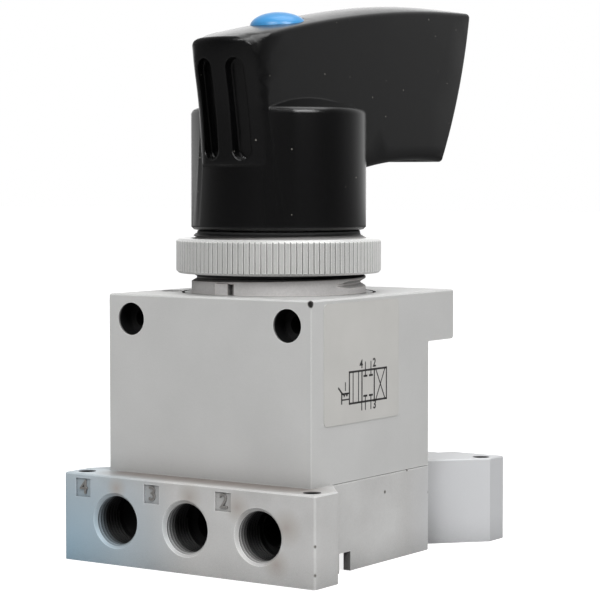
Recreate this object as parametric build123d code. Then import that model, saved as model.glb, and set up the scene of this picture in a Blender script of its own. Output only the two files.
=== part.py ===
from build123d import *
import math
import os

# Hand lever air valve: a rotary slide valve on a sub-base, millimetres.
# +Z is the spindle's axis, pointing up. The origin is on that axis, at the sub-base's bottom face.
# The three ported front face looks along -Y. The lever's long end points along +Y at rest.

os.makedirs("parts", exist_ok=True)

# ---- driving dimensions -------------------------------------------------------------------

# housing block and sub-base
BLOCK_W = 75.0            # across X
BLOCK_FRONT = -37.5       # the spindle stands as far from the front as from the sides
BLOCK_REAR = 28.5
BLOCK_H = 54.8
LEDGE_REAR = 43.9         # rear end of the ledge at the block's top
LEDGE_H = 15.8
BASE_H = 27.0
BASE_HALF_W = 46.5        # across the front and rear flanges
BASE_FRONT = -48.7
BASE_REAR = 61.9
FLANGE_T = 11.9           # front flange, before it tapers to the block's width
RECESS_H = 5.9            # hollow under the sub-base
RIM_T = 2.5
BASE_CORNER_R = 0.8
FOOT_HOLE_R = 2.75        # M5 clearance
FOOT_HOLE_X = 41.8
FOOT_HOLE_FRONT = -43.4
FOOT_HOLE_REAR = 54.7

# ports: G 3/8, drawn at the thread's minor diameter
PORT_R = 7.475
PORT_DEPTH = 13.0
PORT_MOUTH_R = 8.55
PORT_X = 26.5
PORT_Z = 13.5
GALLERY_R = 5.0
GALLERY_X = 24.3          # the outer galleries are drilled inboard of their ports
PASSAGE_R = 4.0
PASSAGE_CIRCLE_R = 17.5

# housing's cross bolts
BOLT_X = 29.0
BOLT_Z = BASE_H + 47.2
BOLT_R = 2.75
BOLT_HEAD_R = 5.0
BOLT_HEAD_DEPTH = 6.0

# cavity and rotary slide stack, bottom to top
CAVITY_R = 24.5
SEAT_R = 24.2
SEAT_T = 8.0
DISC_R = 23.6
DISC_T = 10.0
FILM = 0.02               # air film between the lapped faces
KIDNEY_DEPTH = 5.0
KIDNEY_HALF_ANGLE = 47.0
SPRING_H = 11.0
SPRING_R = 19.0
SPRING_WIRE_R = 1.2
SPRING_TURNS = 3.0
SPINDLE_R = 8.0
SPINDLE_FLANGE_R = 23.0
SPINDLE_FLANGE_T = 5.0
RUN_FIT = 0.05            # radial clearance of turning fits
THRUST_T = 0.95
STOP_R = 19.5             # radius of the stop pin's path
STOP_PIN_R = 1.5
TURN = 45.0               # lever travel each way

# neck, nut and detent
NECK_R = 27.2
NECK_H = 18.4
SPIGOT_R = 22.0
SPIGOT_H = 12.0
NECK_SCREW_CIRCLE_R = 15.5
NUT_R = 32.0
NUT_H = 10.7
NUT_GAP = 6.1             # room for the panel between housing and nut
KNURL_TEETH = 112
KNURL_DEPTH = 0.55
KNURL_GROOVE = 0.3        # share of the knurl's pitch taken by the groove
POCKET_R = 21.0
POCKET_H = 6.0
OCTAGON_FLAT = 7.2        # from the axis to each flat
CLIP_WIRE_R = 0.9

# lever
HUB_R = 27.3
HUB_BOTTOM = 101.3
HUB_EDGE_Z = 138.4
HUB_TOP_Z = 142.7
BLADE_HALF_W = 12.7
BLADE_BOTTOM = 121.0
SQUARE_HALF = 5.5
SQUARE_TOP = 128.0
SCREW_SEAT_Z = 136.0
CAP_SEAT_Z = 165.9
CAP_R = 8.4
CAP_BORE_R = 7.9

# ---- heights that follow from them ---------------------------------------------------------

BLOCK_TOP = BASE_H + BLOCK_H
SEAT_TOP = BASE_H + SEAT_T
DISC_TOP = SEAT_TOP + DISC_T
FLANGE_BOTTOM = DISC_TOP + SPRING_H
FLANGE_TOP = FLANGE_BOTTOM + SPINDLE_FLANGE_T
CAVITY_TOP = FLANGE_TOP + RUN_FIT + THRUST_T
NECK_TOP = BLOCK_TOP + NECK_H
SPIGOT_BOTTOM = BLOCK_TOP - SPIGOT_H
POCKET_FLOOR = NECK_TOP - POCKET_H
NUT_BOTTOM = BLOCK_TOP + NUT_GAP


# ---- small helpers -------------------------------------------------------------------------

def rod(radius, z_low, z_high, x=0.0, y=0.0):
    """An upright cylinder between two heights."""
    return Pos(x, y, (z_low + z_high) / 2) * Cylinder(radius, z_high - z_low)


def rod_y(radius, y_low, y_high, x, z):
    """A cylinder along Y."""
    return Pos(x, (y_low + y_high) / 2, z) * Rot(90, 0, 0) * Cylinder(radius, y_high - y_low)


def block(x_low, x_high, y_low, y_high, z_low, z_high):
    """A rectangular solid between two corners."""
    centre = Pos((x_low + x_high) / 2, (y_low + y_high) / 2, (z_low + z_high) / 2)
    return centre * Box(x_high - x_low, y_high - y_low, z_high - z_low)


def ring(z_low, z_high, outer, inner):
    return rod(outer, z_low, z_high) - rod(inner, z_low - 1, z_high + 1)


def o_ring(mean_radius, section_radius, z, x=0.0, y=0.0):
    return Pos(x, y, z) * Torus(mean_radius, section_radius)


def around(radius, angles):
    """Places on a circle about the spindle's axis."""
    return [(radius * math.cos(math.radians(a)), radius * math.sin(math.radians(a))) for a in angles]


def upright(points, z_low, z_high):
    """A closed outline in plan, raised between two heights."""
    outline = make_face(Polyline(*points, close=True))
    return Pos(0, 0, z_low) * extrude(outline, z_high - z_low)


def spun(profile):
    """A solid of revolution about Z from a face in the XZ plane."""
    return revolve(profile, Axis.Z, 360)


def save(node, *solids):
    """Write one node. Like pieces of one kind share a node as separate solids."""
    shape = solids[0] if len(solids) == 1 else Compound(children=list(solids))
    shape.label = node
    export_step(shape, f"parts/{node}.step")


# ---- sub-base ------------------------------------------------------------------------------

MID_HALF_W = BLOCK_W / 2
TAIL_HALF_W = 28.0
REAR_STEP = 4.5           # the rear port's face lies in front of the rear ears


def base_outline():
    """Half the plan of the sub-base, front to rear, mirrored."""
    flange_back = BASE_FRONT + FLANGE_T
    half = [
        (BASE_HALF_W, BASE_FRONT),
        (BASE_HALF_W, flange_back),
        (MID_HALF_W, flange_back + 10.8),
        (MID_HALF_W, BLOCK_REAR),
        (TAIL_HALF_W, BLOCK_REAR),
        (TAIL_HALF_W, BLOCK_REAR + 5.5),
        (46.0, 53.3),
        (46.0, BASE_REAR),
        (27.0, BASE_REAR),
        (24.0, BASE_REAR - REAR_STEP),
    ]
    return half + [(-x, y) for x, y in reversed(half)]


def port_bore(x, gallery_x, mouth_y, inward, gallery_end):
    """One threaded port with its chamfered mouth and the gallery behind it."""
    bottom = mouth_y + inward * PORT_DEPTH
    low, high = sorted((mouth_y - inward, bottom))
    bore = rod_y(PORT_R, low, high, x, PORT_Z)
    low, high = sorted((bottom - inward, gallery_end))
    gallery = rod_y(GALLERY_R, low, high, gallery_x, PORT_Z)
    chamfer_h = PORT_MOUTH_R - PORT_R
    cone = Cone(PORT_MOUTH_R, PORT_R, chamfer_h, align=(Align.CENTER, Align.CENTER, Align.MIN))
    turn = Rot(-90, 0, 0) if inward > 0 else Rot(90, 0, 0)
    return bore + gallery + Pos(x, mouth_y, PORT_Z) * turn * cone


def base_recess():
    """The hollow under the sub-base, which leaves a rim, the flanges and four screw bosses."""
    inner = MID_HALF_W - RIM_T
    front = BASE_FRONT + FLANGE_T + 6.0
    hollow = block(-inner, inner, front, BLOCK_REAR - RIM_T, -1, RECESS_H)
    hollow += block(-20, 20, BLOCK_REAR - RIM_T - 1, 44, -1, RECESS_H)
    hollow = fillet(hollow.edges().filter_by(Axis.Z), 3.0)
    for side in (-1, 1):
        x_low, x_high = sorted((side * (inner - 1), side * (MID_HALF_W + 1)))
        hollow += block(x_low, x_high, -22.5, -16.4, -1, RECESS_H)
    return hollow


SCREW_X = 32.8
SCREW_Y = (-31.5, 22.5)
SCREW_HEAD_R = 3.5
SCREW_HEAD_H = 4.0
SCREW_R = 2.0
SCREW_L = 28.0


def screw_places():
    return [(x, y) for x in (-SCREW_X, SCREW_X) for y in SCREW_Y]


def make_sub_base():
    body = upright(base_outline(), 0, BASE_H)
    corner = body.edges().filter_by(Axis.Z).group_by(Axis.X)
    body = fillet(corner[0] + corner[-1], BASE_CORNER_R)
    body = chamfer(body.faces().sort_by(Axis.Z)[-1].edges(), 0.4)
    body -= base_recess()
    for side in (-1, 1):
        body -= port_bore(side * PORT_X, side * GALLERY_X, BASE_FRONT, 1, PASSAGE_R + 1)
    body -= port_bore(0, 0, BASE_FRONT, 1, -PASSAGE_CIRCLE_R + PASSAGE_R + 1)
    body -= port_bore(0, 0, BASE_REAR - REAR_STEP, -1, PASSAGE_CIRCLE_R - PASSAGE_R - 1)
    for x, y in around(PASSAGE_CIRCLE_R, (0, 90, 180, 270)):
        body -= rod(PASSAGE_R, PORT_Z, BASE_H + 1, x, y)
    for x in (-FOOT_HOLE_X, FOOT_HOLE_X):
        for y in (FOOT_HOLE_FRONT, FOOT_HOLE_REAR):
            body -= rod(FOOT_HOLE_R, -1, BASE_H + 1, x, y)
    for x, y in screw_places():
        body -= rod(SCREW_R + 0.25, -1, BASE_H + 1, x, y)
        body -= rod(SCREW_HEAD_R + 0.2, -1, RECESS_H + SCREW_HEAD_H, x, y)
    for x, y in around(SEAT_PIN_CIRCLE_R, SEAT_PIN_ANGLES):
        body -= rod(SEAT_PIN_R, BASE_H - SEAT_PIN_DEPTH, BASE_H + 1, x, y)
    groove_half_w = SEAL_SECTION_R + 0.1
    body -= ring(BASE_H - 2 * SEAL_SECTION_R, BASE_H + 1, SEAL_R + groove_half_w, SEAL_R - groove_half_w)
    return body


# ---- seals and fasteners between sub-base and housing --------------------------------------

SEAT_PIN_CIRCLE_R = 12.0
SEAT_PIN_ANGLES = (45, 225)
SEAT_PIN_R = 1.5
SEAT_PIN_DEPTH = 5.0
SEAL_R = 26.5
SEAL_SECTION_R = 0.8
PORT_SEAL_R = 5.4
PORT_SEAL_SECTION_R = 0.9


def screw(head_r, head_h, shank_r, length, socket_r):
    """A socket head screw, head down, its bearing face at Z 0 and its shank up."""
    body = rod(head_r, -head_h, 0) + rod(shank_r, 0, length)
    body = chamfer(body.edges().group_by(Axis.Z)[0], 0.4)
    body = chamfer(body.edges().group_by(Axis.Z)[-1], 0.5)
    socket = extrude(RegularPolygon(socket_r, 6), head_h * 0.6)
    return body - Pos(0, 0, -head_h) * socket


def make_base_screws():
    seat = RECESS_H + SCREW_HEAD_H
    one = screw(SCREW_HEAD_R, SCREW_HEAD_H, SCREW_R, SCREW_L, 1.7)
    return [Pos(x, y, seat) * one for x, y in screw_places()]


def make_port_seals():
    places = around(PASSAGE_CIRCLE_R, (0, 90, 180, 270))
    level = BASE_H + PORT_SEAL_SECTION_R
    return [o_ring(PORT_SEAL_R, PORT_SEAL_SECTION_R, level, x, y) for x, y in places]


# ---- housing -------------------------------------------------------------------------------

def make_housing():
    body = block(-MID_HALF_W, MID_HALF_W, BLOCK_FRONT, BLOCK_REAR, BASE_H, BLOCK_TOP)
    body += block(-MID_HALF_W, MID_HALF_W, BLOCK_REAR - 1, LEDGE_REAR, BLOCK_TOP - LEDGE_H, BLOCK_TOP)
    ledge_low_edge = body.edges().filter_by(Axis.X).group_by(Axis.Y)[-1].sort_by(Axis.Z)[0]
    body = fillet(ledge_low_edge, 1.2)
    top = body.faces().sort_by(Axis.Z)[-1]
    body = chamfer(top.edges(), 0.45)
    body -= rod(CAVITY_R, BASE_H - 1, CAVITY_TOP)
    body -= rod(SPIGOT_R + RUN_FIT, SPIGOT_BOTTOM, BLOCK_TOP + 1)
    body -= rod(SPINDLE_R + 2, CAVITY_TOP - 1, SPIGOT_BOTTOM + 1)
    body -= ring(BLOCK_TOP - 0.8, BLOCK_TOP + 1, NECK_R + 3.2, NECK_R + 2.2)
    body -= rod(3.4, BLOCK_TOP - 2.0, BLOCK_TOP + 1, -30.1, -15.5)
    for x in (-BOLT_X, BOLT_X):
        body -= rod_y(BOLT_R, BLOCK_FRONT - 1, LEDGE_REAR + 1, x, BOLT_Z)
        body -= rod_y(BOLT_HEAD_R, BLOCK_FRONT - 1, BLOCK_FRONT + BOLT_HEAD_DEPTH, x, BOLT_Z)
    for x, y in screw_places():
        body -= rod(SCREW_R, BASE_H - 1, BASE_H + 16, x, y)
    for x, y in around(NECK_SCREW_CIRCLE_R, NECK_SCREW_ANGLES):
        body -= rod(NECK_SCREW_R + 0.2, CAVITY_TOP - 1, SPIGOT_BOTTOM + 1, x, y)
        body -= rod(NECK_SCREW_HEAD_R + 0.3, CAVITY_TOP - 1, CAVITY_TOP + NECK_SCREW_HEAD_H, x, y)
    x, y = around(STOP_R, (90,))[0]
    body -= rod(STOP_PIN_R, CAVITY_TOP - 1, CAVITY_TOP + 5, x, y)
    return body


# ---- neck and its fasteners ----------------------------------------------------------------

NECK_SCREW_ANGLES = (45, 135, 225, 315)
NECK_SCREW_R = 2.0
NECK_SCREW_HEAD_R = 3.5
NECK_SCREW_HEAD_H = 4.0
NECK_SEAL_R = 20.94
NECK_SEAL_SECTION_R = 1.05
NECK_SEAL_Z = SPIGOT_BOTTOM + 4
BUSH_R = 10.0
BUSH_TOP = 86.0
KEY_X = (-4.2, 0.4)         # raised key at the collar's front, which a notch in the panel takes
KEY_PROUD = 0.5
KEY_H = 3.4
KEYWAY_W = 1.9            # slot beside the key
KEYWAY_DEPTH = 1.8


def make_neck():
    """Collar with the nut's thread, a spigot in the housing and the spindle's bearing bore."""
    profile = Polyline(
        (0, SPIGOT_BOTTOM), (SPIGOT_R, SPIGOT_BOTTOM), (SPIGOT_R, BLOCK_TOP), (NECK_R, BLOCK_TOP),
        (NECK_R, NECK_TOP - 1.3), (NECK_R - 1.4, NECK_TOP), (0, NECK_TOP), close=True)
    body = spun(Plane.XZ * make_face(profile))
    body -= rod(BUSH_R, SPIGOT_BOTTOM - 1, BUSH_TOP)
    body -= rod(SPINDLE_R + RUN_FIT, BUSH_TOP - 1, POCKET_FLOOR + 1)
    body -= rod(POCKET_R, POCKET_FLOOR, NECK_TOP + 1)
    body -= ring(NECK_SEAL_Z - 1.2, NECK_SEAL_Z + 1.2, SPIGOT_R + 1, NECK_SEAL_R - NECK_SEAL_SECTION_R)
    body += block(*KEY_X, -NECK_R - KEY_PROUD, -NECK_R + 1, BLOCK_TOP, BLOCK_TOP + KEY_H)
    slot_x = (KEY_X[1], KEY_X[1] + KEYWAY_W)
    body -= block(*slot_x, -NECK_R - 1, -NECK_R + KEYWAY_DEPTH, BLOCK_TOP, BLOCK_TOP + KEY_H)
    for x, y in around(NECK_SCREW_CIRCLE_R, NECK_SCREW_ANGLES):
        body -= rod(NECK_SCREW_R, SPIGOT_BOTTOM - 1, SPIGOT_BOTTOM + 9, x, y)
    for x, y in COVER_PLACES:
        body -= rod(COVER_SCREW_R, POCKET_FLOOR - 5, POCKET_FLOOR + 1, x, y)
    return body


def make_neck_screws():
    one = screw(NECK_SCREW_HEAD_R, NECK_SCREW_HEAD_H, NECK_SCREW_R, 12.0, 1.7)
    places = around(NECK_SCREW_CIRCLE_R, NECK_SCREW_ANGLES)
    return [Pos(x, y, CAVITY_TOP + NECK_SCREW_HEAD_H) * one for x, y in places]


def make_bush():
    body = ring(SPIGOT_BOTTOM, BUSH_TOP - 0.2, BUSH_R, SPINDLE_R + RUN_FIT)
    return chamfer(body.edges().group_by(Axis.Z)[0].sort_by(Edge.length)[-1:], 0.5)


# ---- panel nut -----------------------------------------------------------------------------

def knurl_outline():
    """Straight knurl: one V groove for each tooth round the rim."""
    step = 360.0 / KNURL_TEETH
    points = []
    for tooth in range(KNURL_TEETH):
        points += around(NUT_R, (step * tooth, step * (tooth + 1 - KNURL_GROOVE)))
        points += around(NUT_R - KNURL_DEPTH, (step * (tooth + 1 - KNURL_GROOVE / 2),))
    return points


def make_nut():
    body = upright(knurl_outline(), NUT_BOTTOM, NUT_BOTTOM + NUT_H)
    edge = 0.8
    low, high = NUT_BOTTOM, NUT_BOTTOM + NUT_H
    bevels = Polyline((0, low), (NUT_R - edge, low), (NUT_R + 0.1, low + edge + 0.1),
                      (NUT_R + 0.1, high - edge - 0.1), (NUT_R - edge, high), (0, high), close=True)
    body = body & spun(Plane.XZ * make_face(bevels))
    return body - rod(NECK_R + RUN_FIT, low - 1, high + 1)


# ---- detent --------------------------------------------------------------------------------

CLIP_Z = POCKET_FLOOR + 2.4
CLIP_LEG = 11.0
COVER_T = 1.2
COVER_SCREW_R = 1.25
COVER_POST_R = 2.4
CLIP_POST_Y = 12.2        # this post stands inside the clip's bow and keeps it from turning
COVER_PLACES = [(0.0, CLIP_POST_Y)] + around(17.5, (215, 325))


def make_clip():
    """A hairpin of spring wire. Its legs lie on two opposite flats of the spindle's octagon."""
    leg_x = OCTAGON_FLAT + 0.05 + CLIP_WIRE_R
    legs = [rod_y(CLIP_WIRE_R, -CLIP_LEG, CLIP_LEG - 3, x, CLIP_Z) for x in (-leg_x, leg_x)]
    bow = Pos(0, CLIP_LEG - 3, CLIP_Z) * Torus(leg_x, CLIP_WIRE_R)
    bow = bow & block(-20, 20, CLIP_LEG - 3, 30, CLIP_Z - 2, CLIP_Z + 2)
    return legs[0] + legs[1] + bow


def make_detent_cover():
    low = NECK_TOP - COVER_T
    body = ring(low, NECK_TOP, POCKET_R - 0.05, SPINDLE_R + 0.6)
    for x, y in COVER_PLACES:
        body += rod(COVER_POST_R, POCKET_FLOOR, low, x, y)
        body -= rod(COVER_SCREW_R + 0.1, POCKET_FLOOR - 1, NECK_TOP + 1, x, y)
    return body


def make_cover_screws():
    screws = []
    for x, y in COVER_PLACES:
        one = rod(COVER_SCREW_R, POCKET_FLOOR - 4, NECK_TOP, x, y)
        head = rod(2.3, NECK_TOP, NECK_TOP + 0.6, x, y)
        screws.append(one + head)
    return screws


DUST_RING_H = 0.8
DUST_RING_R = NECK_R - 1.8


def make_dust_ring():
    """Flat rubber ring on the neck's top that keeps dirt out of the detent."""
    body = ring(NECK_TOP, NECK_TOP + DUST_RING_H, DUST_RING_R, POCKET_R + 0.4)
    return chamfer(body.edges().group_by(Axis.Z)[-1], 0.2)


# ---- rotary slide --------------------------------------------------------------------------

def make_seat():
    """Lapped plate with the four valve openings, pinned to the sub-base."""
    body = rod(SEAT_R, BASE_H, SEAT_TOP)
    for x, y in around(PASSAGE_CIRCLE_R, (0, 90, 180, 270)):
        body -= rod(PASSAGE_R, BASE_H - 1, SEAT_TOP + 1, x, y)
        body -= rod(PORT_SEAL_R + PORT_SEAL_SECTION_R, BASE_H - 1, BASE_H + 1.8, x, y)
    for x, y in around(SEAT_PIN_CIRCLE_R, SEAT_PIN_ANGLES):
        body -= rod(SEAT_PIN_R, BASE_H - 1, BASE_H + SEAT_PIN_DEPTH, x, y)
    return body


def make_seat_pins():
    low, high = BASE_H - SEAT_PIN_DEPTH, BASE_H + SEAT_PIN_DEPTH
    return [rod(SEAT_PIN_R, low, high, x, y) for x, y in around(SEAT_PIN_CIRCLE_R, SEAT_PIN_ANGLES)]


def kidney(centre_angle):
    """A curved groove that joins two neighbouring valve openings when the slide turns."""
    low = SEAT_TOP + FILM - 1
    high = SEAT_TOP + FILM + KIDNEY_DEPTH
    first, last = centre_angle - KIDNEY_HALF_ANGLE, centre_angle + KIDNEY_HALF_ANGLE
    groove = ring(low, high, PASSAGE_CIRCLE_R + PASSAGE_R, PASSAGE_CIRCLE_R - PASSAGE_R)
    reach = 60.0
    wedge = [(0, 0)] + around(reach, (first, centre_angle, last))
    groove = groove & upright(wedge, low - 1, high + 1)
    for x, y in around(PASSAGE_CIRCLE_R, (first, last)):
        groove += rod(PASSAGE_R, low, high, x, y)
    return groove


DOG_HALF_W = 4.9
DOG_HALF_L = 15.0
DOG_DEPTH = 4.0


def make_disc():
    body = rod(DISC_R, SEAT_TOP + FILM, DISC_TOP)
    body = chamfer(body.edges().group_by(Axis.Z)[-1], 0.6)
    for angle in (90, 270):
        body -= kidney(angle)
    play = 0.1
    body -= block(-DOG_HALF_L - play, DOG_HALF_L + play, -DOG_HALF_W - play, DOG_HALF_W + play,
                  DISC_TOP - DOG_DEPTH - 0.3, DISC_TOP + 1)
    return body


def make_spring():
    height = SPRING_H - 2 * SPRING_WIRE_R - 0.1
    path = Helix(height / SPRING_TURNS, height, SPRING_R)
    start = path @ 0
    wire = Plane(start, x_dir=(0, 0, 1), z_dir=path % 0) * Circle(SPRING_WIRE_R)
    coil = sweep(wire, path, is_frenet=True)
    return Pos(0, 0, DISC_TOP + SPRING_WIRE_R + 0.05) * coil


# ---- spindle -------------------------------------------------------------------------------

SPINDLE_SEAL_Z = (88.2, 91.6)
SPINDLE_SEAL_R = 7.2
SPINDLE_SEAL_SECTION_R = 0.84


def stop_groove():
    """Arc groove in the spindle's flange; the stop pin meets its ends at the travel's limits."""
    clearance = 0.3
    width = STOP_PIN_R + clearance
    low, high = FLANGE_TOP - 3.0, FLANGE_TOP + 1
    groove = ring(low, high, STOP_R + width, STOP_R - width)
    first, last = 90 - TURN - 1.0, 90 + TURN + 1.0
    reach = 60.0
    groove = groove & upright([(0, 0)] + around(reach, (first, 90, last)), low - 1, high + 1)
    for x, y in around(STOP_R, (first, last)):
        groove += rod(width, low, high, x, y)
    return groove


def make_spindle():
    body = rod(SPINDLE_R, FLANGE_TOP - 1, NECK_TOP + 0.3)
    body += rod(SPINDLE_FLANGE_R, FLANGE_BOTTOM, FLANGE_TOP) - stop_groove()
    body += block(-DOG_HALF_L, DOG_HALF_L, -DOG_HALF_W, DOG_HALF_W, DISC_TOP - DOG_DEPTH, FLANGE_BOTTOM)
    square = block(-SQUARE_HALF, SQUARE_HALF, -SQUARE_HALF, SQUARE_HALF, NECK_TOP, SQUARE_TOP)
    body += square & rod(SPINDLE_R - 0.6, NECK_TOP, SQUARE_TOP)
    octagon_r = OCTAGON_FLAT / math.cos(math.radians(22.5))
    octagon = Rot(0, 0, 22.5) * extrude(RegularPolygon(octagon_r, 8), 4.4)
    waist = rod(SPINDLE_R + 1, POCKET_FLOOR + 0.4, POCKET_FLOOR + 4.8)
    body -= waist - Pos(0, 0, POCKET_FLOOR + 0.4) * octagon
    for z in SPINDLE_SEAL_Z:
        body -= ring(z - 1.1, z + 1.1, SPINDLE_R + 1, SPINDLE_SEAL_R - SPINDLE_SEAL_SECTION_R)
    body -= rod(3.0, SQUARE_TOP - 20, SQUARE_TOP + 1)
    return body


def make_stop_pin():
    x, y = around(STOP_R, (90,))[0]
    return rod(STOP_PIN_R, FLANGE_TOP - 2.5, CAVITY_TOP + 5, x, y)


# ---- lever ---------------------------------------------------------------------------------

BLADE_CORNER_R = 1.5
CORE_TOP_WALL = 4.0
WALL = 3.0


def top_edge(y):
    """Height of the blade's top edge along its length."""
    return 164.75 + 0.1655 * y - 0.00083 * y * y + 0.0000004 * y ** 3


def crown(y):
    """Rise of the top's middle over its edges, fuller towards the middle of the tail."""
    return 0.9 + 1.5 * math.exp(-((y - 55.0) / 45.0) ** 2)


def blade_section(y):
    """One cross-section of the blade, with a crowned top."""
    low = BLADE_BOTTOM - 12
    edge = top_edge(y)
    half = BLADE_HALF_W
    outline = Line((-half, low), (half, low))
    outline += Line((half, low), (half, edge))
    outline += ThreePointArc((half, edge), (0, edge + crown(y)), (-half, edge))
    outline += Line((-half, edge), (-half, low))
    return Plane(origin=(0, y, 0), x_dir=(1, 0, 0), z_dir=(0, -1, 0)) * make_face(outline)


def blade_side():
    """Side view of the blade: level under the nose, arched under the tail, slanted at its end."""
    outline = Line((-45, BLADE_BOTTOM), (20, BLADE_BOTTOM))
    outline += Line((20, BLADE_BOTTOM), (30, 120.2))
    outline += ThreePointArc((30, 120.2), (56, 123.0), (79.2, 122.6))
    outline += ThreePointArc((79.2, 122.6), (90.6, 146.7), (98.4, 176.5))
    outline += Line((98.4, 176.5), (98.4, 185))
    outline += Line((98.4, 185), (-45, 185))
    outline += Line((-45, 185), (-45, BLADE_BOTTOM))
    face = Plane(origin=(0, 0, 0), x_dir=(0, 1, 0), z_dir=(1, 0, 0)) * make_face(outline)
    return extrude(face, 20, both=True)


def nose_face(inset=0.0):
    """The nose's rounded front: a flared round face about the spindle's axis."""
    low, high = 95.0, 190.0
    outline = Line((0, low), (27.0 - inset, low))
    outline += Line((27.0 - inset, low), (28.3 - inset, BLADE_BOTTOM))
    outline += ThreePointArc((28.3 - inset, BLADE_BOTTOM), (31.1 - inset, 140.4), (35.2 - inset, 158.2))
    outline += Line((35.2 - inset, 158.2), (42.0 - inset, high))
    outline += Line((42.0 - inset, high), (0, high))
    outline += Line((0, high), (0, low))
    return spun(Plane.XZ * make_face(outline))


def finger_grooves():
    """Two upright grooves in the nose with round ends."""
    tools = []
    for x in (-GROOVE_X, GROOVE_X):
        slot = SlotOverall(GROOVE_TOP - GROOVE_BOTTOM, GROOVE_W, rotation=90)
        place = Plane(origin=(x, -20, (GROOVE_TOP + GROOVE_BOTTOM) / 2), x_dir=(1, 0, 0), z_dir=(0, -1, 0))
        tools.append(extrude(place * slot, 30) - nose_face(GROOVE_DEPTH))
    return tools


GROOVE_X = 5.7
GROOVE_W = 6.2
GROOVE_DEPTH = 4.0
GROOVE_BOTTOM = 122.8
GROOVE_TOP = 152.9
SECTION_YS = (-45.0, -15.0, 15.0, 45.0, 75.0, 105.0)


def corner_edges(body):
    """The blade's upright corners and the rim round its crowned top."""
    return [e for e in body.edges() if e.bounding_box().size.Z > 20 or e.center().Z > 150]


def make_blade():
    body = loft([blade_section(y) for y in SECTION_YS])
    body = body & blade_side()
    front = block(-30, 30, -60, 0, 90, 190) - nose_face()
    body = body - front
    body = fillet(corner_edges(body), BLADE_CORNER_R)
    tail_low_edge = body.edges().filter_by(Axis.X).group_by(Axis.Y)[-1]
    return fillet(tail_low_edge, BLADE_CORNER_R)


def make_hub():
    outline = Line((0, HUB_BOTTOM), (HUB_R - 0.9, HUB_BOTTOM))
    outline += Line((HUB_R - 0.9, HUB_BOTTOM), (HUB_R, HUB_BOTTOM + 0.9))
    outline += Line((HUB_R, HUB_BOTTOM + 0.9), (HUB_R, HUB_EDGE_Z - 1.6))
    outline += ThreePointArc((HUB_R, HUB_EDGE_Z - 1.6), (HUB_R - 0.5, HUB_EDGE_Z - 0.3), (HUB_R - 1.8, HUB_EDGE_Z + 0.4))
    outline += ThreePointArc((HUB_R - 1.8, HUB_EDGE_Z + 0.4), (12.8, 141.8), (0, HUB_TOP_Z))
    outline += Line((0, HUB_TOP_Z), (0, HUB_BOTTOM))
    return spun(Plane.XZ * make_face(outline))


CORE_OUTER_R = 22.8
CORE_INNER_R = 12.5
CORE_TOP_Z = 133.0
CORE_RIBS = 8
TAIL_CORE_START = 31.5
TAIL_CORE_END = 76.5
TAIL_CELLS = 4


def hub_core():
    """The hub's cored underside: a ring pocket with radial ribs round the spindle's socket."""
    pocket = ring(HUB_BOTTOM - 1, CORE_TOP_Z, CORE_OUTER_R, CORE_INNER_R)
    for rib in range(CORE_RIBS):
        web = block(0, CORE_OUTER_R + 1, -1.2, 1.2, HUB_BOTTOM + 3, CORE_TOP_Z + 1)
        pocket -= Rot(0, 0, 22.5 + rib * 360 / CORE_RIBS) * web
    return pocket


def tail_cells():
    """Cored cells under the tail, parted by cross ribs."""
    rib = 2.4
    pitch = (TAIL_CORE_END - TAIL_CORE_START + rib) / TAIL_CELLS
    cells = []
    for cell in range(TAIL_CELLS):
        start = TAIL_CORE_START + cell * pitch
        middle = start + (pitch - rib) / 2
        low, high = start, start + pitch - rib
        half = BLADE_HALF_W - WALL
        cells.append(block(-half, half, low, high, 100, top_edge(middle) - CORE_TOP_WALL))
    return cells


def make_handle():
    body = make_blade() + make_hub()
    body += rod(CAP_R + 0.5, 150, CAP_SEAT_Z)
    for tool in finger_grooves():
        body -= tool
    for tool in tail_cells():
        body -= tool
    body -= hub_core()
    fit = 0.05
    half = SQUARE_HALF + fit
    body -= block(-half, half, -half, half, HUB_BOTTOM - 1, SQUARE_TOP + 0.3)
    body -= rod(3.3, SQUARE_TOP - 1, SCREW_SEAT_Z + 1)
    body -= rod(CAP_BORE_R, SCREW_SEAT_Z, CAP_SEAT_Z + 1)
    body -= rod(CAP_R + 0.1, CAP_SEAT_Z, CAP_SEAT_Z + 10)
    return body


def make_handle_screw():
    body = rod(2.95, SQUARE_TOP - 16, SCREW_SEAT_Z + 1.2) + rod(5.0, SCREW_SEAT_Z + 1.2, SCREW_SEAT_Z + 7.2)
    socket = extrude(RegularPolygon(2.9, 6), 3.5)
    return body - Pos(0, 0, SCREW_SEAT_Z + 7.2 - 3.5) * socket


def make_cap():
    """Push-in cap over the lever's screw: a low dome on a hollow stem."""
    rise = 3.0
    rim = CAP_SEAT_Z + 0.7
    sphere_r = (CAP_R ** 2 + (rise - 0.7) ** 2) / (2 * (rise - 0.7))
    ball = Pos(0, 0, CAP_SEAT_Z + rise - sphere_r) * Sphere(sphere_r)
    dome = rod(CAP_R, CAP_SEAT_Z, rim + rise) & ball
    return dome + ring(CAP_SEAT_Z - 7, CAP_SEAT_Z + 0.3, CAP_BORE_R - 0.03, CAP_BORE_R - 1.6)


# ---- label ---------------------------------------------------------------------------------

LABEL_Y = (-30.9, 10.4)
LABEL_Z = (44.3, 80.4)
LABEL_T = 0.2


def make_label():
    width = LABEL_Y[1] - LABEL_Y[0]
    height = LABEL_Z[1] - LABEL_Z[0]
    place = Plane(origin=(MID_HALF_W, sum(LABEL_Y) / 2, sum(LABEL_Z) / 2), x_dir=(0, 1, 0), z_dir=(1, 0, 0))
    return extrude(place * RectangleRounded(width, height, 1.5), LABEL_T)


# ---- all nodes -----------------------------------------------------------------------------

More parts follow.
